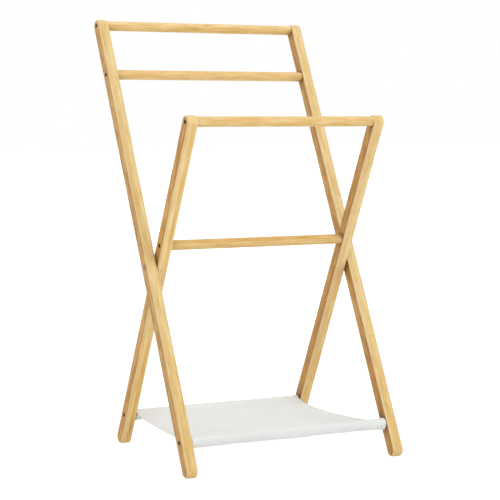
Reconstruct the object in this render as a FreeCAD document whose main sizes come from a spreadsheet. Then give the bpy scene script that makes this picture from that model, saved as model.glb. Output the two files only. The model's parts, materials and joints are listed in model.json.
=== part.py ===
"""Folding bamboo towel rack with a cloth shelf.

A tall frame and a narrower short frame cross like scissors on two pivot bolts. Round rails join
the uprights of each frame, and a cloth hangs between the lowest rods as a shelf.
X runs along the rails, -Y is the front, +Z is up, and the origin is on the floor, midway
across and midway from front to back.
"""
import FreeCAD, Part
import os
import re
import Sketcher
from FreeCAD import Placement, Rotation, Vector

# Driving sizes in millimetres. Reaches are measured along an upright from the pivot.
SIZES = {
    # Frames
    "rack_width": 480.0,
    "lean": 26.75,
    "upright_thickness": 22.4,
    "upright_depth": 27.2,
    "upright_edge_bevel": 2.2,
    "tall_reach": 557.0,
    "short_reach": 335.0,
    "foot_reach": 432.0,
    "foot_flat": 0.5,
    # Rails and rods
    "rail_diameter": 20.0,
    "rod_diameter": 18.0,
    "top_rail_inset": 12.0,
    "second_rail_drop": 115.0,
    "mid_rail_rise": 49.5,
    "rod_rise": 70.0,
    # Screws through the uprights into the rail ends
    "screw_head_diameter": 7.2,
    "screw_head_height": 3.6,
    "screw_socket": 3.0,
    "screw_socket_depth": 1.6,
    "screw_diameter": 4.2,
    "screw_length": 42.0,
    "counterbore_diameter": 7.6,
    "counterbore_depth": 4.0,
    "screw_clearance": 0.3,
    "pilot_clearance": 0.05,
    "pilot_spare": 3.0,
    # Pivots
    "bolt_diameter": 6.0,
    "bolt_head_diameter": 10.6,
    "bolt_head_height": 2.0,
    "bolt_head_bevel": 0.6,
    "bolt_socket": 4.0,
    "bolt_socket_depth": 1.4,
    "bolt_engagement": 12.0,
    "washer_diameter": 16.0,
    "washer_thickness": 0.5,
    "insert_diameter": 10.0,
    "insert_length": 14.0,
    "insert_spare": 1.0,
    "running_clearance": 0.05,
    # Shelf cloth
    "cloth_thickness": 0.9,
    "cloth_clearance": 0.3,
    "cloth_end_gap": 2.0,
    "cloth_sag": 4.5,
    "cloth_draw_in": 4.0,
}

# Places worked out from the driving sizes, as distances from the middle plane, the pivot or the floor.
TALL_OUTER = "(rack_width / 2)"
TALL_INNER = "(rack_width / 2 - upright_thickness)"
SHORT_OUTER = "(rack_width / 2 - upright_thickness - washer_thickness - 2 * running_clearance)"
SHORT_INNER = "(rack_width / 2 - 2 * upright_thickness - washer_thickness - 2 * running_clearance)"
END_RADIUS = "(upright_depth / 2)"
TALL_TOP_RAIL = "(tall_reach - top_rail_inset)"
TALL_SECOND_RAIL = "(tall_reach - top_rail_inset - second_rail_drop)"
SHORT_TOP_RAIL = "(short_reach - top_rail_inset)"
SHORT_MID_RAIL = "(mid_rail_rise)"
SHELF_ROD = "(rod_rise - foot_reach)"
PIVOT_Y = "((foot_reach - tall_reach) * sin(lean * 1 deg) / 2)"
PIVOT_Z = f"((foot_reach - {END_RADIUS}) * cos(lean * 1 deg) + {END_RADIUS} - foot_flat)"
ROD_OFFSET = "((foot_reach - rod_rise) * sin(lean * 1 deg))"
SCREW_HOLE = "(screw_diameter / 2 + screw_clearance)"
PILOT_HOLE = "(screw_diameter / 2 + pilot_clearance)"
PILOT_DEPTH = "(screw_length + counterbore_depth - upright_thickness + pilot_spare)"
BOLT_HOLE = "(bolt_diameter / 2 + running_clearance)"
INSERT_HOLE = "(insert_diameter / 2 + running_clearance)"
SLEEVE_INSIDE = "(rod_diameter / 2 + cloth_clearance)"
SLEEVE_OUTSIDE = "(rod_diameter / 2 + cloth_clearance + cloth_thickness)"
FRONT_CLOTH = f"({TALL_INNER} - cloth_end_gap)"
REAR_CLOTH = f"({SHORT_INNER} - cloth_end_gap)"

# Each frame's turn about the X axis: the tall frame leans back at the top, the short one forward.
TALL_FRAME = "(-lean * 1 deg)"
SHORT_FRAME = "(lean * 1 deg)"

# Point numbers of an edge in a sketch, and the sketch's own axes and origin.
START, END, CENTRE = range(1, 4)
ACROSS_AXIS, UP_AXIS = range(-1, -3, -1)
ORIGIN = (ACROSS_AXIS, START)

doc = FreeCAD.newDocument("towel_rack")
sheet = doc.addObject("Spreadsheet::Sheet", "Sizes")
for row, (alias, value) in enumerate(SIZES.items(), start=1):
    sheet.set(f"A{row}", alias)
    sheet.set(f"B{row}", str(value))
    sheet.setAlias(f"B{row}", alias)
doc.recompute()

nodes = []


def on_sheet(formula):
    """The formula with each size written as its cell on the sheet."""
    return re.sub(r"[a-z_]+", lambda word: f"Sizes.{word[0]}" if word[0] in SIZES else word[0], formula)


def bind(feature, name, formula):
    """Tie one property of a feature to the sheet."""
    feature.setExpression(name, on_sheet(formula))


def new_body(label, frame=None):
    """An empty body, at the pivot and leaning with its frame, or at the origin."""
    body = doc.addObject("PartDesign::Body", label)
    body.Label = label
    if frame is not None:
        body.Placement = Placement(Vector(), Rotation(Vector(1, 0, 0), 1))
        bind(body, "Placement.Base.y", PIVOT_Y)
        bind(body, "Placement.Base.z", PIVOT_Z)
        bind(body, "Placement.Rotation.Angle", frame)
    return body


def origin_plane(body, role):
    return next(plane for plane in body.Origin.OriginFeatures if plane.Role == role)


def new_sketch(body, name, role, **offset):
    """A sketch on one of the body's own planes, moved along the sketch's axes by the offset formulas."""
    sketch = body.newObject("Sketcher::SketchObject", name)
    sketch.AttachmentSupport = [(origin_plane(body, role), "")]
    sketch.MapMode = "FlatFace"
    for axis, formula in offset.items():
        bind(sketch, f"AttachmentOffset.Base.{axis}", formula)
    return sketch


def hold(sketch, kind, formula, *points):
    """A constraint whose value comes from the sheet."""
    index = sketch.addConstraint(Sketcher.Constraint(kind, *points, number(formula)))
    name = f"held_{index}"
    sketch.renameConstraint(index, name)
    bind(sketch, f"Constraints.{name}", formula)


def number(formula):
    """The present value of a formula, for a first placing of the geometry."""
    return float(FreeCAD.Units.Quantity(sheet.evalExpression(on_sheet(formula))).Value)


def hold_point(sketch, point, across, up):
    """Hold a point at a place measured from the sketch's origin, or on an axis where that is zero."""
    for kind, axis, formula in (("DistanceX", UP_AXIS, across), ("DistanceY", ACROSS_AXIS, up)):
        if formula == "0":
            sketch.addConstraint(Sketcher.Constraint("PointOnObject", *point, axis))
        else:
            hold(sketch, kind, formula, *ORIGIN, *point)


def circle(sketch, radius, across, up):
    """A circle of a set radius about a held centre."""
    centre = Vector(number(across), number(up), 0)
    edge = sketch.addGeometry(Part.Circle(centre, Vector(0, 0, 1), number(radius)))
    hold_point(sketch, (edge, CENTRE), across, up)
    hold(sketch, "Radius", radius, edge)


def outline(sketch, corners, bends=()):
    """A closed outline through held corners.

    A bend (edge number, radius, side) makes that edge an arc, whose centre is to the left of
    the way from corner to corner for side 1 and to the right for side -1.
    """
    places = [Vector(number(across), number(up), 0) for across, up in corners]
    bent = {edge: (radius, side) for edge, radius, side in bends}
    edges = []
    for place, start in enumerate(places):
        end = places[(place + 1) % len(places)]
        if place in bent:
            radius, side = bent[place]
            chord = end - start
            left = Vector(-chord.y, chord.x, 0).normalize() * side
            rise = (number(radius) ** 2 - chord.Length ** 2 / 4) ** 0.5
            middle = (start + end) / 2 + left * (rise - number(radius))
            arc = Part.Arc(start, middle, end)
            edges.append(sketch.addGeometry(arc))
            hold(sketch, "Radius", radius, edges[-1])
        else:
            edges.append(sketch.addGeometry(Part.LineSegment(start, end)))
    ends = []
    for edge, start in zip(edges, places):
        first = sketch.getPoint(edge, START)
        forward = first.distanceToPoint(start) < 1e-6
        ends.append((START, END) if forward else (END, START))
    for place, edge in enumerate(edges):
        onward = (place + 1) % len(edges)
        join = Sketcher.Constraint("Coincident", edge, ends[place][1], edges[onward], ends[onward][0])
        sketch.addConstraint(join)
        hold_point(sketch, (edge, ends[place][0]), *corners[place])


def pad(body, name, sketch, length):
    """Build up from a sketch, the way that it faces."""
    feature = body.newObject("PartDesign::Pad", name)
    feature.Profile = sketch
    bind(feature, "Length", length)
    return feature


def pocket(body, name, sketch, depth=None):
    """Cut from a sketch, the way that it faces, to a depth or right through."""
    feature = body.newObject("PartDesign::Pocket", name)
    feature.Profile = sketch
    feature.Reversed = True
    if depth is None:
        feature.Type = "ThroughAll"
    else:
        bind(feature, "Length", depth)
    return feature


def revolve(body, name, sketch):
    """A full turn about the sketch's across axis."""
    feature = body.newObject("PartDesign::Revolution", name)
    feature.Profile = sketch
    feature.ReferenceAxis = (sketch, ["H_Axis"])
    return feature


def mirror_in_body(body, name, feature):
    """The feature once more on the other side of the middle plane."""
    mirrored = body.newObject("PartDesign::Mirrored", name)
    mirrored.Originals = [feature]
    mirrored.MirrorPlane = (origin_plane(body, "YZ_Plane"), [""])
    body.Tip = mirrored


def mirrored_piece(label, piece):
    """The same piece for the right-hand side of the rack."""
    mirrored = doc.addObject("Part::Mirroring", label)
    mirrored.Label = label
    mirrored.Source = piece
    mirrored.Base = Vector(0, 0, 0)
    mirrored.Normal = Vector(1, 0, 0)
    return mirrored


def upright(label, frame, outer, top, cross_members):
    """A left-hand bamboo bar with round ends, drilled for its rails and levelled at the foot."""
    body = new_body(label, frame)
    face = f"-{outer}"
    side = new_sketch(body, f"{label}_side", "YZ_Plane", z=face)
    radius = number(END_RADIUS)
    high = number(f"{top} - {END_RADIUS}")
    low = number(f"{END_RADIUS} - foot_reach")
    half_turn = FreeCAD.Units.Quantity("180 deg").getValueAs("rad").Value
    upward = Vector(0, 0, 1)
    head = Part.ArcOfCircle(Part.Circle(Vector(0, high, 0), upward, radius), 0, half_turn)
    foot = Part.ArcOfCircle(Part.Circle(Vector(0, low, 0), upward, radius), half_turn, 2 * half_turn)
    back = Part.LineSegment(Vector(radius, low, 0), Vector(radius, high, 0))
    front = Part.LineSegment(Vector(-radius, high, 0), Vector(-radius, low, 0))
    head, foot, back, front = side.addGeometry([head, foot, back, front])
    for joint in ((back, END, head, START), (head, END, front, START),
                  (front, END, foot, START), (foot, END, back, START)):
        side.addConstraint(Sketcher.Constraint("Tangent", *joint))
    hold_point(side, (head, CENTRE), "0", f"{top} - {END_RADIUS}")
    hold_point(side, (foot, CENTRE), "0", f"{END_RADIUS} - foot_reach")
    hold(side, "Radius", END_RADIUS, head)
    bar = pad(body, f"{label}_bar", side, "upright_thickness")
    doc.recompute()

    eased = body.newObject("PartDesign::Chamfer", f"{label}_edges")
    rims = [f"Edge{i}" for i, edge in enumerate(bar.Shape.Edges, start=1) if edge.BoundBox.XLength < 1e-6]
    eased.Base = (bar, rims)
    bind(eased, "Size", "upright_edge_bevel")

    holes = new_sketch(body, f"{label}_screw_holes", "YZ_Plane", z=face)
    seats = new_sketch(body, f"{label}_screw_seats", "YZ_Plane", z=face)
    for place in cross_members:
        circle(holes, SCREW_HOLE, "0", place)
        circle(seats, "counterbore_diameter / 2", "0", place)
    pocket(body, f"{label}_drilled", holes)
    pocket(body, f"{label}_counterbored", seats, "counterbore_depth")

    floor = new_sketch(body, f"{label}_floor", "YZ_Plane", z=face)
    floor.AttachmentOffset = Placement(Vector(), Rotation(upward, 1))
    bind(floor, "AttachmentOffset.Rotation.Angle", f"-{frame}")
    under = f"-{PIVOT_Z} - upright_depth"
    outline(floor, [("-foot_reach", under), ("foot_reach", under),
                    ("foot_reach", f"-{PIVOT_Z}"), ("-foot_reach", f"-{PIVOT_Z}")])
    pocket(body, f"{label}_levelled", floor)
    return body


def cross_member(label, frame, reach, diameter, half_length):
    """A round bar between two uprights, with a pilot hole for a screw in each end."""
    body = new_body(label, frame)
    end = new_sketch(body, f"{label}_end", "YZ_Plane", z=f"-{half_length}")
    circle(end, f"{diameter} / 2", "0", reach)
    pad(body, f"{label}_bar", end, f"2 * {half_length}")
    pilot = new_sketch(body, f"{label}_pilot", "YZ_Plane", z=f"-{half_length}")
    circle(pilot, PILOT_HOLE, "0", reach)
    mirror_in_body(body, f"{label}_pilots", pocket(body, f"{label}_pilot_hole", pilot, PILOT_DEPTH))
    nodes.append(body)


def hex_socket(body, label, face, reach, flats, depth):
    """A hexagon socket cut into the end of a head, for an Allen key."""
    key = new_sketch(body, f"{label}_key", "YZ_Plane", y=reach, z=face)
    half_flat = f"{flats} / 2"
    corner = f"{flats} / 2 * tan(30 deg)"
    point = f"{flats} / 2 / cos(30 deg)"
    outline(key, [("0", f"-{point}"), (half_flat, f"-{corner}"), (half_flat, corner),
                  ("0", point), (f"-{half_flat}", corner), (f"-{half_flat}", f"-{corner}")])
    pocket(body, f"{label}_hex_socket", key, depth)


def screw_pair(label, frame, reach, outer):
    """The two screws that hold one rail or rod, heads sunk in the uprights."""
    body = new_body(f"{label}_left", frame)
    half = new_sketch(body, f"{label}_half", "XZ_Plane", x=f"counterbore_depth - {outer}", y=reach)
    outline(half, [("-screw_head_height", "0"), ("-screw_head_height", "screw_head_diameter / 2"),
                   ("0", "screw_head_diameter / 2"), ("0", "screw_diameter / 2"),
                   ("screw_length", "screw_diameter / 2"), ("screw_length", "0")])
    revolve(body, f"{label}_turned", half)
    head_face = f"(counterbore_depth - screw_head_height - {outer})"
    hex_socket(body, label, head_face, reach, "screw_socket", "screw_socket_depth")
    pair = doc.addObject("Part::Compound", label)
    pair.Label = label
    pair.Links = [body, mirrored_piece(f"{label}_right", body)]
    nodes.append(pair)


def both_sides(body):
    """Keep a left-hand piece and its mirror image as two nodes."""
    nodes.append(body)
    nodes.append(mirrored_piece(body.Label.replace("_left", "_right"), body))


# Tall frame: two outer uprights, two towel rails at the top and the front rod of the shelf.
tall_upright = upright("tall_upright_left", TALL_FRAME, TALL_OUTER, "tall_reach",
                       (TALL_TOP_RAIL, TALL_SECOND_RAIL, SHELF_ROD))
tall_pivot = new_sketch(tall_upright, "tall_pivot_hole", "YZ_Plane", z=f"-{TALL_OUTER}")
circle(tall_pivot, BOLT_HOLE, "0", "0")
pocket(tall_upright, "tall_pivot_bore", tall_pivot)
both_sides(tall_upright)
cross_member("tall_top_rail", TALL_FRAME, TALL_TOP_RAIL, "rail_diameter", TALL_INNER)
cross_member("tall_second_rail", TALL_FRAME, TALL_SECOND_RAIL, "rail_diameter", TALL_INNER)
cross_member("front_shelf_rod", TALL_FRAME, SHELF_ROD, "rod_diameter", TALL_INNER)
screw_pair("tall_top_rail_screws", TALL_FRAME, TALL_TOP_RAIL, TALL_OUTER)
screw_pair("tall_second_rail_screws", TALL_FRAME, TALL_SECOND_RAIL, TALL_OUTER)
screw_pair("front_shelf_rod_screws", TALL_FRAME, SHELF_ROD, TALL_OUTER)

# Short frame: it stands inside the tall one, with a top rail, a rail above the pivot and the rear rod.
short_upright = upright("short_upright_left", SHORT_FRAME, SHORT_OUTER, "short_reach",
                        (SHORT_TOP_RAIL, SHORT_MID_RAIL, SHELF_ROD))
short_pivot = new_sketch(short_upright, "short_pivot_hole", "YZ_Plane", z=f"-{SHORT_OUTER}")
circle(short_pivot, INSERT_HOLE, "0", "0")
pocket(short_upright, "short_pivot_bore", short_pivot, "insert_length + insert_spare")
both_sides(short_upright)
cross_member("short_top_rail", SHORT_FRAME, SHORT_TOP_RAIL, "rail_diameter", SHORT_INNER)
cross_member("short_mid_rail", SHORT_FRAME, SHORT_MID_RAIL, "rail_diameter", SHORT_INNER)
cross_member("rear_shelf_rod", SHORT_FRAME, SHELF_ROD, "rod_diameter", SHORT_INNER)
screw_pair("short_top_rail_screws", SHORT_FRAME, SHORT_TOP_RAIL, SHORT_OUTER)
screw_pair("short_mid_rail_screws", SHORT_FRAME, SHORT_MID_RAIL, SHORT_OUTER)
screw_pair("rear_shelf_rod_screws", SHORT_FRAME, SHELF_ROD, SHORT_OUTER)

# Pivot bolt: its head lies on the tall upright, and its end is screwed into the short one.
bolt = new_body("pivot_bolt_left", SHORT_FRAME)
bolt_face = f"(-{TALL_OUTER} - running_clearance)"
bolt_half = new_sketch(bolt, "bolt_half", "XZ_Plane", x=bolt_face)
bolt_end = f"({TALL_OUTER} + running_clearance - {SHORT_OUTER} + bolt_engagement)"
outline(bolt_half, [("-bolt_head_height", "0"),
                    ("-bolt_head_height", "bolt_head_diameter / 2 - bolt_head_bevel"),
                    ("bolt_head_bevel - bolt_head_height", "bolt_head_diameter / 2"),
                    ("0", "bolt_head_diameter / 2"), ("0", "bolt_diameter / 2"),
                    (bolt_end, "bolt_diameter / 2"), (bolt_end, "0")])
revolve(bolt, "bolt_turned", bolt_half)
hex_socket(bolt, "bolt", f"{bolt_face} - bolt_head_height", "0", "bolt_socket", "bolt_socket_depth")
both_sides(bolt)

# Washer that keeps the two uprights apart on the bolt.
washer = new_body("pivot_washer_left", SHORT_FRAME)
washer_ring = new_sketch(washer, "washer_ring", "YZ_Plane", z=f"running_clearance - {TALL_INNER}")
circle(washer_ring, "washer_diameter / 2", "0", "0")
circle(washer_ring, BOLT_HOLE, "0", "0")
pad(washer, "washer_disc", washer_ring, "washer_thickness")
both_sides(washer)

# Threaded insert, sunk in the short upright, that the bolt screws into.
insert = new_body("pivot_insert_left", SHORT_FRAME)
insert_ring = new_sketch(insert, "insert_ring", "YZ_Plane", z=f"-{SHORT_OUTER}")
circle(insert_ring, "insert_diameter / 2", "0", "0")
circle(insert_ring, BOLT_HOLE, "0", "0")
pad(insert, "insert_sleeve", insert_ring, "insert_length")
both_sides(insert)

# Shelf cloth: a panel that sags between its two tunnels, with its free sides drawn in.
cloth = new_body("shelf_cloth")
bind(cloth, "Placement.Base.y", PIVOT_Y)
bind(cloth, "Placement.Base.z", f"{PIVOT_Z} - (foot_reach - rod_rise) * cos(lean * 1 deg)")
half_cloth = "cloth_thickness / 2"
panel_bend = f"({ROD_OFFSET}^2 + cloth_sag^2) / (2 * cloth_sag)"
panel = new_sketch(cloth, "cloth_panel", "YZ_Plane", z=f"-{FRONT_CLOTH}")
outline(panel, [(f"-{ROD_OFFSET}", f"-{half_cloth}"), (ROD_OFFSET, f"-{half_cloth}"),
                (ROD_OFFSET, half_cloth), (f"-{ROD_OFFSET}", half_cloth)],
        bends=[(0, panel_bend, 1), (2, panel_bend, -1)])
pad(cloth, "cloth_panel_width", panel, f"2 * {FRONT_CLOTH}")

taper = f"({FRONT_CLOTH} - {REAR_CLOTH})"
side_bend = f"({taper}^2 / 4 + {ROD_OFFSET}^2 + cloth_draw_in^2) / (2 * cloth_draw_in)"
beside = f"{FRONT_CLOTH} + upright_depth"
free_side = new_sketch(cloth, "cloth_free_side", "XY_Plane", z="-upright_depth")
outline(free_side, [(FRONT_CLOTH, f"-{ROD_OFFSET}"), (beside, f"-{ROD_OFFSET}"),
                    (beside, ROD_OFFSET), (REAR_CLOTH, ROD_OFFSET)],
        bends=[(3, side_bend, -1)])
drawn_in = pocket(cloth, "cloth_drawn_in", free_side)
mirror_in_body(cloth, "cloth_both_sides", drawn_in)

for tunnel, across, half_length in (("front_tunnel", f"-{ROD_OFFSET}", FRONT_CLOTH),
                                    ("rear_tunnel", ROD_OFFSET, REAR_CLOTH)):
    sleeve = new_sketch(cloth, f"{tunnel}_outside", "YZ_Plane", z=f"-{half_length}")
    circle(sleeve, SLEEVE_OUTSIDE, across, "0")
    pad(cloth, f"{tunnel}_sleeve", sleeve, f"2 * {half_length}")
    bore = new_sketch(cloth, f"{tunnel}_inside", "YZ_Plane", z=f"-{FRONT_CLOTH}")
    circle(bore, SLEEVE_INSIDE, across, "0")
    pocket(cloth, f"{tunnel}_bore", bore)
nodes.append(cloth)

doc.recompute()
failed = [thing.Name for thing in doc.Objects if {"Invalid", "Error"} & set(thing.State)]
failed += [node.Label for node in nodes if node.Shape.isNull() or not node.Shape.isValid()]
if failed:
    raise RuntimeError("Not built: " + ", ".join(failed))

os.makedirs("parts", exist_ok=True)
for node in nodes:
    node.Shape.exportStep(f"parts/{node.Label}.step")
    box = node.Shape.BoundBox
    print(f"{node.Label}: {len(node.Shape.Solids)} solids, {node.Shape.Volume:.1f} mm3,"
          f" {box.XLength:.1f} x {box.YLength:.1f} x {box.ZLength:.1f} mm")
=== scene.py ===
import json
import math

import bpy
import numpy as np
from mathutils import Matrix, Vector


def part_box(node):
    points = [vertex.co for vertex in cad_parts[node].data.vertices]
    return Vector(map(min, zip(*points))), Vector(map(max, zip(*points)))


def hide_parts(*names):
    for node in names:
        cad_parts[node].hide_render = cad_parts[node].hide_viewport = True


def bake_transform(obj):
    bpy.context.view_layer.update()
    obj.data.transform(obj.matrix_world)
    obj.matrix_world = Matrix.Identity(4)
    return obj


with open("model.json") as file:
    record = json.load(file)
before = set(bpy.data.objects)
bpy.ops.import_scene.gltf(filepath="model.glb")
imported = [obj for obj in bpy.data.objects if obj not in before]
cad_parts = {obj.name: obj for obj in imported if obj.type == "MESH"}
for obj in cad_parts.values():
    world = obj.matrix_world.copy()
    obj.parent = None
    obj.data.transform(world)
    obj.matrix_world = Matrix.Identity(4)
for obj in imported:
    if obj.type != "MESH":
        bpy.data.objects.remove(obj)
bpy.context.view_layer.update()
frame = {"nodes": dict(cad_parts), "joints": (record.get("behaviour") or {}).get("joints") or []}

nodes = frame["nodes"]
pivot = frame["joints"][0]["pos_m"]

# Uprights: four flat bars of bamboo lumber, three layers thick, each layer glued up from strips that
# run the length of the bar. The ends are sanded to a full round and the long edges eased, under a
# thin satin lacquer. Each pair leans with its frame about the line through the two pivots.


class Field:
    """A value that varies over a surface: one output socket, whose arithmetic adds Math nodes."""

    def __init__(self, finish, socket):
        self.finish = finish
        self.socket = socket

    def __add__(self, other):
        return self.finish.math("ADD", self, other)

    def __sub__(self, other):
        return self.finish.math("SUBTRACT", self, other)

    def __mul__(self, other):
        return self.finish.math("MULTIPLY", self, other)

    def __truediv__(self, other):
        return self.finish.math("DIVIDE", self, other)

    def __radd__(self, other):
        return self.finish.math("ADD", other, self)

    def __rsub__(self, other):
        return self.finish.math("SUBTRACT", other, self)

    def __rmul__(self, other):
        return self.finish.math("MULTIPLY", other, self)

    def __rtruediv__(self, other):
        return self.finish.math("DIVIDE", other, self)

    def __abs__(self):
        return self.finish.math("ABSOLUTE", self)

    def floor(self):
        return self.finish.math("FLOOR", self)

    def fraction(self):
        return self.finish.math("FRACT", self)

    def sine(self):
        return self.finish.math("SINE", self)

    def step(self, low, high):
        """0 below low and 1 above high, with a smooth rise between."""
        settings = {"interpolation_type": "SMOOTHSTEP"}
        sockets = {"Value": self, "From Min": low, "From Max": high}
        return self.finish.node("ShaderNodeMapRange", settings, sockets)


class Finish:
    """The nodes of a material or of the surround. node() adds one and gives back one of its outputs."""

    def __init__(self, owner, shader="Principled BSDF"):
        owner.use_nodes = True
        self.owner = owner
        self.tree = owner.node_tree
        self.shader = self.tree.nodes[shader]

    def node(self, kind, settings, sockets, out=0):
        made = self.tree.nodes.new(kind)
        for setting, value in settings.items():
            setattr(made, setting, value)
        self.link(made, sockets)
        return Field(self, made.outputs[out])

    def link(self, made, sockets):
        for name, value in sockets.items():
            if isinstance(value, Field):
                self.tree.links.new(value.socket, made.inputs[name])
            else:
                made.inputs[name].default_value = value

    def math(self, operation, *values):
        return self.node("ShaderNodeMath", {"operation": operation}, dict(enumerate(values)))

    def coordinates(self, kind):
        return self.node("ShaderNodeTexCoord", {}, {}, kind)

    def scaled(self, vector, scale):
        sockets = {"Vector": vector, "Scale": scale}
        return self.node("ShaderNodeVectorMath", {"operation": "SCALE"}, sockets)

    def split(self, vector):
        return [self.node("ShaderNodeSeparateXYZ", {}, {"Vector": vector}, axis) for axis in "XYZ"]

    def join(self, *parts):
        return self.node("ShaderNodeCombineXYZ", {}, dict(zip("XYZ", parts)))

    def noise(self, vector, detail=2.0):
        sockets = {"Vector": vector, "Scale": 1.0, "Detail": detail}
        return self.node("ShaderNodeTexNoise", {}, sockets)

    def chance(self, vector):
        """One even random number for each whole-number place."""
        settings = {"noise_dimensions": "3D"}
        return self.node("ShaderNodeTexWhiteNoise", settings, {"Vector": vector}, "Value")

    def mix(self, share, first, second, way="MIX"):
        settings = {"data_type": "RGBA", "blend_type": way}
        return self.node("ShaderNodeMix", settings, {0: share, 6: first, 7: second}, 2)

    def bump(self, height, distance):
        return self.node("ShaderNodeBump", {}, {"Height": height, "Distance": distance})

    def paint(self, **sockets):
        self.link(self.shader, {name.replace("_", " "): value for name, value in sockets.items()})

    def cover(self, *pieces):
        for piece in pieces:
            piece.data.materials.clear()
            piece.data.materials.append(self.owner)


def new_finish(name):
    """A fresh material of that name."""
    return Finish(bpy.data.materials.new(name))


LAYER = 0.0075
RING_SPACING = 0.27


def bamboo(finish, across, through, along, strip):
    """Colour, roughness and relief of glued bamboo strips, in a bar's own directions.

    Each noise is given by its counts per metre in those directions.
    """
    layer_place = across / LAYER + 0.5
    layer_number = layer_place.floor()
    strip_place = through / strip + layer_number * 0.37
    strip_number = strip_place.floor()
    tone = finish.chance(finish.join(layer_number, strip_number, 3.0))
    hue = finish.chance(finish.join(layer_number, strip_number, 8.0))

    patch = finish.noise(finish.join(across * 70, through * 70, along * 18 + tone * 30), 1.5)
    streak = finish.noise(finish.join(across * 480, through * 480, along * 15 + tone * 80), 2.0)
    mark = finish.noise(finish.join(across * 440, through * 440, along * 42 + hue * 60), 1.0)
    fibre = finish.noise(finish.join(across * 1300, through * 1300, along * 30), 2.0)
    dash = finish.noise(finish.join(across * 2600, through * 2600, along * 120), 1.0).step(0.60, 0.72)

    ring_gap = abs((along / RING_SPACING + tone * 5).fraction() - 0.5) * RING_SPACING
    ring = 1 - ring_gap.step(0.0004, 0.0020)
    halo = 1 - ring_gap.step(0.001, 0.010)
    layer_gap = (0.5 - abs(layer_place.fraction() - 0.5)) * LAYER
    strip_gap = (0.5 - abs(strip_place.fraction() - 0.5)) * strip
    glue = 1 - finish.math("MINIMUM", layer_gap, strip_gap).step(0.0001, 0.0004)

    straw = (0.880, 0.690, 0.365, 1)
    honey = (0.720, 0.475, 0.155, 1)
    blush = (0.880, 0.600, 0.320, 1)
    brown = (0.420, 0.205, 0.050, 1)
    colour = finish.mix(tone * 0.45 + patch.step(0.30, 0.70) * 0.55, straw, honey)
    colour = finish.mix(hue.step(0.45, 1.0) * 0.45, colour, blush)
    colour = finish.mix(streak.step(0.56, 0.68) * 0.36 + mark.step(0.63, 0.74) * 0.42, colour, brown)
    colour = finish.mix(fibre.step(0.45, 0.75) * 0.13 + dash * 0.18, colour, brown)
    colour = finish.mix(halo * 0.06 + ring * 0.09 + glue * 0.16, colour, brown)
    roughness = 0.42 + fibre * 0.14 + ring * 0.08
    relief = fibre * 0.5 + streak * 0.3 - ring * 0.7 - glue * 0.5
    return colour, roughness, relief


def painted_corner_shade(finish):
    """Painted shade: 1 in the tight corners of the joints, found by ambient occlusion, fading to 0."""
    shelter = finish.node("ShaderNodeAmbientOcclusion", {"samples": 8}, {"Distance": 0.040}, "AO")
    above_floor = finish.split(finish.coordinates("Object"))[2].step(0.025, 0.050)
    return (1 - shelter.step(0.40, 1.00)) * above_floor


UPRIGHT_STRIP = 0.0136
SIDE_STRIP = 0.0091
HOLE_RIM = 0.0038
HOLE_SHADE_END = 0.0052


def bamboo_bar(name, lean, left_tint, right_tint, rails):
    """Lacquered bamboo for the uprights of one frame, which lean by that angle about the pivots.

    The rails' screws go in at those distances from the pivots, in holes whose walls and rims are painted
    dark as shade.
    """
    side_brown = (0.400, 0.190, 0.040, 1)
    painted_highlight_cream = (1.000, 0.760, 0.490, 1)
    painted_shade_brown = (0.140, 0.052, 0.005, 1)
    painted_hole_shade_dark = (0.030, 0.012, 0.003, 1)
    toward_feet_tint = (0.925, 0.865, 0.730, 1)
    side_tint_and_shade = (0.975, 0.790, 0.535, 1)
    finish = new_finish(name)
    settings = {"rotation_type": "X_AXIS"}
    sockets = {"Vector": finish.coordinates("Object"), "Center": pivot, "Angle": lean}
    across, through, along = finish.split(finish.node("ShaderNodeVectorRotate", settings, sockets))
    through = through - pivot[1]
    colour, roughness, relief = bamboo(finish, across, through, along, UPRIGHT_STRIP)
    sideways = abs(finish.split(finish.coordinates("Normal"))[0])
    cut_side = sideways.step(0.80, 0.95)
    eased_edge_highlight = sideways.step(0.25, 0.55) - cut_side
    on_right = across.step(-0.1, 0.1)
    side_strip = (through / SIDE_STRIP + 0.5).floor()
    strip_tone = finish.chance(finish.join(on_right, side_strip, lean + 2.0))
    weathering = finish.noise(finish.join(across * 40, through * 130, along * 26), 2.0)
    toward_feet = 1 - along.step(-0.05, 0.42)
    from_hole = 1.0
    for reach in rails:
        beyond = along - (pivot[2] + reach)
        from_centre = finish.math("SQRT", through * through + beyond * beyond)
        from_hole = finish.math("MINIMUM", from_hole, from_centre)
    painted_hole_shade = 1 - from_hole.step(HOLE_RIM, HOLE_SHADE_END)
    colour = finish.mix(1.0, colour, finish.mix(on_right, left_tint, right_tint), "MULTIPLY")
    # The colour darkens towards the lower ends of the bars.
    colour = finish.mix(toward_feet, colour, toward_feet_tint, "MULTIPLY")
    # The cut sides take a darker, more orange tint: partly the colour of the strips' edge grain, partly
    # painted shade.
    colour = finish.mix(cut_side, colour, side_tint_and_shade, "MULTIPLY")
    colour = finish.mix(cut_side * strip_tone * 0.48, colour, side_brown)
    colour = finish.mix(cut_side * weathering.step(0.40, 0.62) * 0.62, colour, side_brown)
    # Painted highlight: a cream line along the eased edges, where the lamps catch the lacquer.
    colour = finish.mix(eased_edge_highlight * 0.40, colour, painted_highlight_cream)
    # Painted shade: the side faces turn brown in the tight corners of the crossings and rail joints.
    colour = finish.mix(painted_corner_shade(finish) * cut_side * 0.92, colour, painted_shade_brown)
    # Painted shade: the screw holes' walls and a thin ring round their rims go near black, as deep shade
    # in the holes.
    colour = finish.mix(painted_hole_shade * 0.85, colour, painted_hole_shade_dark)
    finish.paint(Base_Color=colour, Roughness=roughness, Normal=finish.bump(relief, 0.00015),
                 Specular_IOR_Level=0.22, Coat_Weight=0.06, Coat_Roughness=0.30)
    return finish


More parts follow.
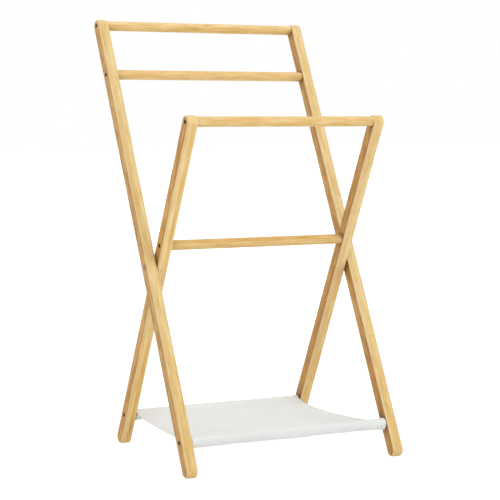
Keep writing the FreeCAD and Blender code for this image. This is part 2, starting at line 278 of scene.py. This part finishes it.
frame_lean = math.radians(26.75)
tall_rails = (0.545, 0.430, -0.362)
short_rails = (0.323, 0.0495, -0.362)
tall_bamboo = bamboo_bar("tall upright bamboo", frame_lean,
                         (1.020, 1.040, 1.080, 1), (1.000, 1.015, 1.030, 1), tall_rails)
tall_bamboo.cover(nodes["tall_upright_left"], nodes["tall_upright_right"])
short_bamboo = bamboo_bar("short upright bamboo", -frame_lean,
                          (1.100, 1.095, 1.035, 1), (1.030, 1.010, 0.960, 1), short_rails)
short_bamboo.cover(nodes["short_upright_left"], nodes["short_upright_right"])

# Rails and shelf rods: round bars turned from the same laminated bamboo and sanded smooth. They stand
# square against the inner faces of the uprights, each held by a screw through either end. The lower
# ones are a shade browner.
rail_names = ("tall_top_rail", "tall_second_rail", "short_top_rail", "short_mid_rail",
              "front_shelf_rod", "rear_shelf_rod")
RAIL_STRIP = 0.0160
GRAIN_UP = 0.83
GRAIN_BACK = 0.56
rail_tint = (1.05, 0.99, 0.91, 1)
lower_rail_tint = (0.905, 0.875, 0.785, 1)
painted_joint_shade_brown = (0.150, 0.056, 0.005, 1)
turned_bamboo = new_finish("turned bamboo")
along, through, across = turned_bamboo.split(turned_bamboo.coordinates("Object"))
tilted = across * GRAIN_UP + through * GRAIN_BACK
crossing = through * GRAIN_UP - across * GRAIN_BACK
colour, roughness, relief = bamboo(turned_bamboo, tilted, crossing, along, RAIL_STRIP)
lower_rails = 1 - across.step(0.50, 0.60)
colour = turned_bamboo.mix(0.8, colour, rail_tint, "MULTIPLY")
colour = turned_bamboo.mix(lower_rails, colour, lower_rail_tint, "MULTIPLY")
# Painted shade: the rails turn brown in the tight corners where they meet the uprights, found by ambient
# occlusion.
colour = turned_bamboo.mix(painted_corner_shade(turned_bamboo) * 0.70, colour, painted_joint_shade_brown)
turned_bamboo.paint(Base_Color=colour, Roughness=roughness, Normal=turned_bamboo.bump(relief, 0.00015),
                    Specular_IOR_Level=0.22, Coat_Weight=0.06, Coat_Roughness=0.30)
turned_bamboo.cover(*(nodes[name] for name in rail_names))

# Rail screws: black steel furniture screws with hexagon sockets, their heads sunk just below the
# outer faces of the uprights in plain drilled seats.
blacked_steel = new_finish("blacked steel")
scuff = blacked_steel.noise(blacked_steel.scaled(blacked_steel.coordinates("Object"), 900.0), 3.0)
dark_coat = (0.002, 0.0015, 0.001, 1)
worn_coat = (0.006, 0.004, 0.003, 1)
coating = blacked_steel.mix(scuff.step(0.45, 0.75), dark_coat, worn_coat)
blacked_steel.paint(Base_Color=coating, Roughness=0.70 + scuff * 0.25, Specular_IOR_Level=0.02)
blacked_steel.cover(*(nodes[f"{name}_screws"] for name in rail_names))

# Pivot bolts: steel with a dull dark plating, a low turned head and a hexagon socket. The head lies on
# the outer face of the tall upright, and the shank ends in the short one.
dull_plate = new_finish("dull darkened plate")
place = dull_plate.coordinates("Object")
cloud = dull_plate.noise(dull_plate.scaled(place, 260.0), 3.0)
from_pivot = dull_plate.node("ShaderNodeVectorMath", {"operation": "SUBTRACT"}, {0: place, 1: pivot})
_, behind, above = dull_plate.split(from_pivot)
from_axis = dull_plate.math("SQRT", behind * behind + above * above)
turning = (from_axis * 22000).sine()
plating = dull_plate.mix(cloud, (0.41, 0.30, 0.25, 1), (0.52, 0.40, 0.34, 1))
dull_plate.paint(Base_Color=plating, Roughness=0.34 + cloud * 0.18, Metallic=1.0,
                 Normal=dull_plate.bump(turning, 0.00001))
dull_plate.cover(nodes["pivot_bolt_left"], nodes["pivot_bolt_right"])

# Pivot washers: discs cut from natural nylon sheet. Each is held on its bolt between the crossing
# uprights, keeps them apart and lets them turn without rubbing.
nylon = new_finish("natural nylon")
haze = nylon.noise(nylon.scaled(nylon.coordinates("Object"), 420.0), 2.0)
nylon.paint(Base_Color=nylon.mix(haze, (0.66, 0.62, 0.52, 1), (0.76, 0.72, 0.63, 1)),
            Roughness=0.42 + haze * 0.15)
nylon.cover(nodes["pivot_washer_left"], nodes["pivot_washer_right"])

# Pivot inserts: turned brass sleeves, threaded inside for the bolts. They are pressed into blind
# holes in the outer faces of the short uprights.
brass = new_finish("plain brass")
tarnish = brass.noise(brass.scaled(brass.coordinates("Object"), 350.0), 3.0)
brass.paint(Base_Color=brass.mix(tarnish, (0.58, 0.40, 0.14, 1), (0.72, 0.54, 0.24, 1)),
            Roughness=0.28 + tarnish * 0.2, Metallic=1.0)
brass.cover(nodes["pivot_insert_left"], nodes["pivot_insert_right"])

# Shelf cloth: one sheet of white plain-woven cotton. Each end is taken round a rod and sewn down just
# behind it as a tunnel, and both sides have a folded hem. The panel sags a little, and the pull
# between the rods draws its free sides in.
CLOTH_HALF = 0.00045
HEM_HALF = 0.00070
HEM_WIDTH = 0.010
TUNNEL_RADIUS = 0.00985
TUNNEL_SLACK = 0.0012
TUNNEL_PINCH = 0.0012
SEAM_REACH = 0.0300
SEAM_DROP = 0.0012
SEAM_ALLOWANCE = 0.0065
PANEL_SAG = 0.0045
DRAW_IN = 0.0035
END_GAP = 0.0012
ROW_SPACING = 0.0022
HEM_FOLD = 0.0018
HEM_RISE = 0.0012
HEM_TUCK = 0.0005
HEM_BULGE = 0.0006
PUCKER_HEIGHT = 0.00022
PUCKER_REACH = 0.022
CREASE_HEIGHT = 0.0007
CREASE_REACH = 0.070
CREASE_START = 0.030
WAVE_HEIGHT = 0.0005
DRIFT_HEIGHT = 0.0004
SLACK_SWAY = 0.0011


def rod_axis(name):
    """Depth and height of a rod's axis, and half its length."""
    low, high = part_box(name)
    return (low.y + high.y) / 2, (low.z + high.z) / 2, high.x


front_y, rod_z, front_half = rod_axis("front_shelf_rod")
rear_y, _, rear_half = rod_axis("rear_shelf_rod")
front_half -= END_GAP
rear_half -= END_GAP


def tunnel_loop():
    """Way of the cloth round a rod, from its hem below the panel to the seam, as seen from the rod."""
    turn = []
    for degrees in range(20, 305, 9):
        angle = math.radians(degrees)
        hang = max(0.0, math.sin(angle)) ** 1.3
        pinch = max(0.0, math.cos(angle)) * hang * TUNNEL_PINCH
        radius = TUNNEL_RADIUS + TUNNEL_SLACK * hang + pinch
        turn.append((radius * math.cos(angle), -radius * math.sin(angle)))
    lift = turn[-1][1] + SEAM_DROP
    slope = [(turn[-1][0] + (SEAM_REACH - turn[-1][0]) * share, lift * (1 - share) ** 1.8 - SEAM_DROP)
             for share in (0.2, 0.4, 0.6, 0.8, 1.0)]
    beneath = [(back, height - 2.5 * CLOTH_HALF) for back, height in slope[:0:-1]]
    hem_end = (SEAM_REACH + SEAM_ALLOWANCE, -SEAM_DROP - 2.6 * CLOTH_HALF)
    return [hem_end] + beneath + turn + slope


def smooth_run(points, spacing):
    """Points at even steps on a smooth curve through the given ones."""
    points = np.array(points)
    ghost = np.vstack([2 * points[0] - points[1], points, 2 * points[-1] - points[-2]])
    fine = []
    for place in range(len(points) - 1):
        a, b, c, d = ghost[place:place + 4]
        for share in np.linspace(0, 1, 12, endpoint=False):
            fine.append(0.5 * (2 * b + (c - a) * share + (2 * a - 5 * b + 4 * c - d) * share ** 2
                               + (3 * b - a - 3 * c + d) * share ** 3))
    fine = np.array(fine + [points[-1]])
    run = np.concatenate([[0], np.cumsum(np.linalg.norm(np.diff(fine, axis=0), axis=1))])
    count = max(2, round(run[-1] / spacing))
    even = np.linspace(0, run[-1], count + 1)
    return np.stack([np.interp(even, run, fine[:, k]) for k in (0, 1)], axis=1)


loop = smooth_run(tunnel_loop(), ROW_SPACING)
front_run = np.stack([front_y + loop[:, 0], rod_z + loop[:, 1]], axis=1)
rear_run = np.stack([rear_y - loop[::-1, 0], rod_z + loop[::-1, 1]], axis=1)
panel_share = np.linspace(0, 1, 97)[1:-1]
panel_y = front_run[-1, 0] + (rear_run[0, 0] - front_run[-1, 0]) * panel_share
panel_z = np.full_like(panel_y, rod_z - SEAM_DROP) - PANEL_SAG * 4 * panel_share * (1 - panel_share)
section = np.vstack([front_run, np.stack([panel_y, panel_z], axis=1), rear_run])
on_panel = np.concatenate([np.zeros(len(front_run)), panel_share, np.ones(len(rear_run))])
bow = 4 * on_panel * (1 - on_panel)
half_width = front_half + (rear_half - front_half) * on_panel - DRAW_IN * bow
run_length = np.concatenate([[0], np.cumsum(np.linalg.norm(np.diff(section, axis=0), axis=1))])

hem_steps = np.array([0.0, HEM_FOLD, HEM_WIDTH - HEM_RISE, HEM_WIDTH])
between_hems = np.linspace(-1, 1, 121)[1:-1]


def cloth_places(edge):
    """Distances across the cloth at one row: close together over the hems, even between them."""
    return np.concatenate([hem_steps - edge, between_hems * (edge - HEM_WIDTH), edge - hem_steps[::-1]])


across_cloth = np.array([cloth_places(edge) for edge in half_width])
rows, columns = across_cloth.shape
middle = np.zeros((rows, columns, 3))
middle[:, :, 0] = across_cloth
middle[:, :, 1:] = section[:, None, :]
from_edge = half_width[:, None] - np.abs(across_cloth)
in_hem = np.clip((HEM_WIDTH - from_edge) / HEM_RISE, 0, 1)
in_panel = (bow > 0)[:, None]

x = middle[:, :, 0]
y = middle[:, :, 1]
near_front = np.exp(-np.maximum(y - front_run[-1, 0], 0) / PUCKER_REACH)
near_rear = np.exp(-np.maximum(rear_run[0, 0] - y, 0) / PUCKER_REACH)
pucker = (np.sin(x * 301 + 0.7) + 0.7 * np.sin(x * 173 + 2.1)) * (near_front + near_rear) * PUCKER_HEIGHT
pucker *= np.minimum(1, bow[:, None] * 9) * in_panel
corner_pull = np.zeros_like(x)
for side in (-1, 1):
    for corner_y, reach in ((front_y, front_half), (rear_y, rear_half)):
        along_x = side * (side * reach - x)
        along_y = np.abs(y - corner_y)
        distance = np.hypot(along_x, along_y)
        bearing = np.arctan2(along_y, np.maximum(along_x, 1e-6))
        fade = np.exp(-distance / CREASE_REACH) * np.minimum(1, distance / CREASE_START)
        corner_pull += np.sin(bearing * 15 + side * 0.8 + reach * 40) * fade * CREASE_HEIGHT
soft_wave = np.sin(x * 23 + 0.4) * np.sin(y * 19 + 1.1) * WAVE_HEIGHT
soft_wave += np.sin(x * 11 + y * 14) * DRIFT_HEIGHT
middle[:, :, 2] += pucker + (corner_pull + soft_wave) * np.minimum(1, bow[:, None] * 2.5)
low_side = np.clip((rod_z - section[:, 1]) / TUNNEL_RADIUS, 0, 1)[:, None] * ~in_panel
sway = 0.35 * np.sin(x * 29 + 1.3) + 0.25 * np.sin(x * 67 + 0.2) + 0.15 * np.sin(x * 141 + 2.6)
middle[:, :, 2] -= low_side * sway * SLACK_SWAY

step_along = np.gradient(middle, axis=0)
step_across = np.gradient(middle, axis=1)
outward = np.cross(step_across, step_along)
outward /= np.linalg.norm(outward, axis=2)[:, :, None]
hem_lift = in_hem * np.where(in_panel, -HEM_TUCK, HEM_BULGE)
middle += outward * hem_lift[:, :, None]
thick = (CLOTH_HALF + (HEM_HALF - CLOTH_HALF) * in_hem)[:, :, None]
upper = middle + outward * thick
under = middle - outward * thick
count = rows * columns
grid = np.arange(count).reshape(rows, columns)
quads = np.stack([grid[:-1, :-1], grid[:-1, 1:], grid[1:, 1:], grid[1:, :-1]], axis=-1).reshape(-1, 4)
border = np.concatenate([grid[0, :], grid[1:, -1], grid[-1, -2::-1], grid[-2:0:-1, 0]])
onward = np.roll(border, -1)
rim = np.stack([onward, border, border + count, onward + count], axis=-1)
cloth_faces = np.vstack([quads, quads[:, ::-1] + count, rim])
cloth_mesh = bpy.data.meshes.new("shelf_cloth_sheet")
cloth_points = np.vstack([upper.reshape(-1, 3), under.reshape(-1, 3)])
cloth_mesh.from_pydata(cloth_points.tolist(), [], cloth_faces.tolist())
cloth_mesh.shade_smooth()
flat_places = np.stack([across_cloth.reshape(-1), np.repeat(run_length, columns)], axis=1)
weave_map = cloth_mesh.uv_layers.new(name="weave")
corner_vertices = np.zeros(len(cloth_mesh.loops), dtype=int)
cloth_mesh.loops.foreach_get("vertex_index", corner_vertices)
weave_map.data.foreach_set("uv", flat_places[corner_vertices % count].astype(np.float32).ravel())
cloth = bpy.data.objects.new("shelf_cloth_sheet", cloth_mesh)
bpy.context.scene.collection.objects.link(cloth)

cotton = new_finish("white cotton")
over, along, _ = cotton.split(cotton.coordinates("UV"))
YARN = 0.00062
warp = (over * (2 * math.pi / YARN)).sine()
weft = (along * (2 * math.pi / YARN)).sine()
slub = cotton.noise(cotton.join(over * 60, along * 1500, 0.0), 2.0)
slub_across = cotton.noise(cotton.join(over * 1500, along * 60, 4.0), 2.0)
mottle = cotton.noise(cotton.join(over * 9, along * 9, 1.0), 2.0)
yarn = abs(warp) * 0.5 + abs(weft) * 0.5
shade = slub * 0.35 + slub_across * 0.35 + mottle * 0.3
white = cotton.mix(shade.step(0.35, 0.65), (0.795, 0.816, 0.798, 1), (0.866, 0.887, 0.868, 1))
cotton.paint(Base_Color=white, Roughness=0.84 + yarn * 0.10, Sheen_Weight=0.10, Sheen_Roughness=0.6,
             Specular_IOR_Level=0.2, Normal=cotton.bump(yarn * 0.6 + shade, 0.00012),
             Subsurface_Weight=0.5, Subsurface_Radius=(1.0, 1.0, 1.0), Subsurface_Scale=0.002)
cotton.cover(cloth)
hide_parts("shelf_cloth")
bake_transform(cloth)

# Stitching: white cotton thread in rows of lockstitch, which close the tunnels behind the rods and
# hold down the folded hems.
STITCH_LENGTH = 0.0026
STITCH_PITCH = 0.0034
THREAD_RADIUS = 0.00026
THREAD_SIDES = 6
ROW_MARGIN = 0.003
HEM_STITCH_INSET = 0.0022
SEAM_STITCH_INSET = 0.0012
stitch_points = []
stitch_faces = []


def cloth_point(run, over):
    """Place on the cloth's upper face at a distance along it and across it, and the way out of it."""
    row = min(int(np.searchsorted(run_length, run, side="right")) - 1, rows - 2)
    share = (run - run_length[row]) / (run_length[row + 1] - run_length[row])
    found = []
    for values in (upper, outward):
        near, far = [np.array([np.interp(over, across_cloth[r], values[r, :, k]) for k in range(3)])
                     for r in (row, row + 1)]
        found.append(near + (far - near) * share)
    return found


def sew(places):
    """Short stitches along a row of places, given as distances along and across the cloth."""
    for start, end in places:
        (a, out_a), (b, out_b) = cloth_point(*start), cloth_point(*end)
        forward = (b - a) / np.linalg.norm(b - a)
        out = out_a / np.linalg.norm(out_a)
        beside = np.cross(out, forward)
        base = len(stitch_points)
        stations = ((0.0, 0.15), (0.12, 0.8), (0.5, 1.0), (0.88, 0.8), (1.0, 0.15))
        for share, fullness in stations:
            centre = a + (b - a) * share + out * THREAD_RADIUS * (fullness - 0.55)
            for turn in range(THREAD_SIDES):
                angle = math.radians(360 / THREAD_SIDES * turn)
                spoke = out * math.sin(angle) + beside * math.cos(angle)
                stitch_points.append(centre + spoke * THREAD_RADIUS * fullness)
        for ring in range(len(stations) - 1):
            low = base + ring * THREAD_SIDES
            high = low + THREAD_SIDES
            for turn in range(THREAD_SIDES):
                next_turn = (turn + 1) % THREAD_SIDES
                stitch_faces.append((low + turn, low + next_turn, high + next_turn, high + turn))
        stitch_faces.append(tuple(base + turn for turn in reversed(range(THREAD_SIDES))))
        stitch_faces.append(tuple(high + turn for turn in range(THREAD_SIDES)))


def row_across(run, half):
    """Stitches straight across the cloth."""
    number = int(2 * (half - ROW_MARGIN) / STITCH_PITCH)
    first = -number * STITCH_PITCH / 2
    return [((run, first + k * STITCH_PITCH), (run, first + k * STITCH_PITCH + STITCH_LENGTH))
            for k in range(number)]


def row_along(side):
    """Stitches down one hem, near its folded edge."""
    number = int((run_length[-1] - 2 * ROW_MARGIN) / STITCH_PITCH)
    rows_of_hem = []
    for k in range(number):
        start = ROW_MARGIN + k * STITCH_PITCH
        ends = [(run, side * (np.interp(run, run_length, half_width) - HEM_WIDTH + HEM_STITCH_INSET))
                for run in (start, start + STITCH_LENGTH)]
        rows_of_hem.append(tuple(ends))
    return rows_of_hem


front_seam = run_length[len(front_run) - 1] + SEAM_STITCH_INSET
rear_seam = run_length[len(run_length) - len(rear_run)] - SEAM_STITCH_INSET
sew(row_across(front_seam, front_half))
sew(row_across(rear_seam, rear_half))
sew(row_along(-1))
sew(row_along(1))
stitch_mesh = bpy.data.meshes.new("shelf_cloth_stitching")
stitch_mesh.from_pydata([point.tolist() for point in stitch_points], [], stitch_faces)
stitch_mesh.shade_smooth()
stitching = bpy.data.objects.new("shelf_cloth_stitching", stitch_mesh)
bpy.context.scene.collection.objects.link(stitching)
thread = new_finish("white thread")
ply = (thread.split(thread.coordinates("Object"))[0] * 9000).sine()
thread.paint(Base_Color=thread.mix(ply * 0.5 + 0.5, (0.72, 0.72, 0.69, 1), (0.84, 0.84, 0.82, 1)),
             Roughness=0.70 + ply * 0.08, Sheen_Weight=0.15)
thread.cover(stitching)
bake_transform(stitching)
cut_area = float(np.sum((half_width[1:] + half_width[:-1]) * np.diff(run_length)))

# Studio: a pale floor, lit a little from below, under an even white surround. One broad lamp stands in
# front and one hangs overhead.
FLOOR_HALF = 30.0
floor_corners = [(-FLOOR_HALF, -FLOOR_HALF, 0), (FLOOR_HALF, -FLOOR_HALF, 0),
                 (FLOOR_HALF, FLOOR_HALF, 0), (-FLOOR_HALF, FLOOR_HALF, 0)]
floor_mesh = bpy.data.meshes.new("floor")
floor_mesh.from_pydata(floor_corners, [], [(0, 1, 2, 3)])
floor = bpy.data.objects.new("floor", floor_mesh)
bpy.context.scene.collection.objects.link(floor)
pale_floor = new_finish("pale floor")


def in_sight(finish):
    """1 for what is seen, straight or in a gloss or glass, and 0 for what only lights the rack."""
    rays = ("Is Camera Ray", "Is Glossy Ray", "Is Transmission Ray")
    straight, in_gloss, in_glass = [finish.node("ShaderNodeLightPath", {}, {}, ray) for ray in rays]
    return straight + in_gloss + in_glass


glow = pale_floor.mix(in_sight(pale_floor), (0.33, 0.33, 0.33, 1), (0.73, 0.73, 0.73, 1))
pale_floor.paint(Base_Color=(0.55, 0.55, 0.55, 1), Roughness=0.9, Specular_IOR_Level=0.0,
                 Emission_Color=glow, Emission_Strength=1.0)
pale_floor.cover(floor)

surround = Finish(bpy.data.worlds.new("white surround"), "Background")
surround.paint(Color=(1, 1, 1, 1), Strength=0.57 + in_sight(surround) * 0.43)
bpy.context.scene.world = surround.owner


def lamp(name, toward, strength, spread):
    """A broad even light that shines one way; strength 1 lights a facing surface at its own colour."""
    data = bpy.data.lights.new(name, "SUN")
    data.energy = strength * math.pi
    data.angle = math.radians(spread)
    light = bpy.data.objects.new(name, data)
    light.rotation_euler = Vector(toward).to_track_quat("-Z", "Y").to_euler()
    bpy.context.scene.collection.objects.link(light)


lamp("front lamp", (-0.20, 1.0, -0.18), 0.31, 60)
lamp("overhead lamp", (-0.10, 0.10, -1.0), 0.365, 90)

# Camera: a long lens to the left of the rack's front. It stands a little above the rack's middle and
# looks slightly down, so that the whole rack fits the square frame without a lens shift.
camera_data = bpy.data.cameras.new("camera")
camera_data.sensor_width = 36
camera_data.lens = 120.5076
camera = bpy.data.objects.new("camera", camera_data)
camera.location = (-1.55134, -3.06372, 0.68872)
bearing = math.radians(26.9974)
dip = math.radians(4.6267)
looking = Vector((math.sin(bearing) * math.cos(dip), math.cos(bearing) * math.cos(dip), -math.sin(dip)))
camera.rotation_euler = looking.to_track_quat("-Z", "Y").to_euler()
bpy.context.scene.collection.objects.link(camera)
bpy.context.scene.camera = camera
bpy.context.scene.view_settings.view_transform = "Standard"
